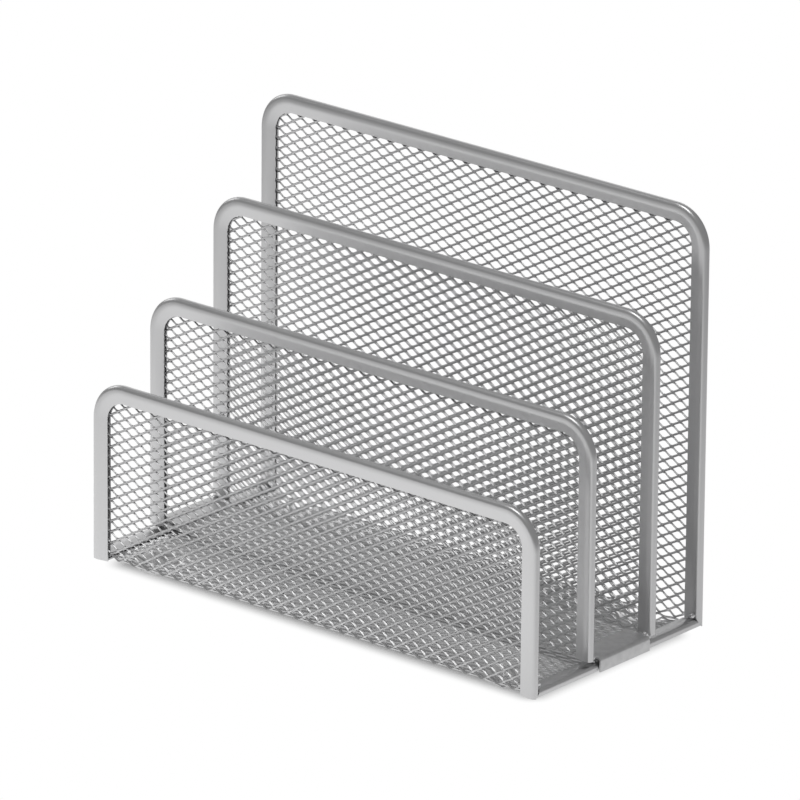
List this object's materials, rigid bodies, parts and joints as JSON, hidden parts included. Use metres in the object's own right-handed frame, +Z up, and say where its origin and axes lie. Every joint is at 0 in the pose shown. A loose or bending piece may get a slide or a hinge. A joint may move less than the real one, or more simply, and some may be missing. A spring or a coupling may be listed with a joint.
{
  "type": "mail holder",
  "caption": "Free-standing desk mail holder: upright mesh walls rise in steps from front to rear, with open slots between them for letters.",
  "frame": {"origin": "on the surface that the feet stand on, below the middle of the floor", "axes": "+X across the walls to the right, seen from the front, +Y to the rear, +Z up"},
  "size_m": [0.1764, 0.08, 0.1345],
  "materials": {
    "mesh": "satin silver paint",
    "channel": "satin silver paint",
    "weld": "silver paint over weld"
  },
  "bodies": {
    "root": {"front_mesh": "mesh", "floor_mesh": "mesh", "rear_mesh": "mesh", "second_mesh": "mesh", "centre_floor_mesh": "mesh", "third_mesh": "mesh", "front_rim": "channel", "second_rim": "channel", "third_rim": "channel", "rear_rim": "channel", "left_side_rail": "channel", "right_side_rail": "channel", "left_saddle": "channel", "right_saddle": "channel", "weld_beads": "weld"}
  },
  "joints": []
}
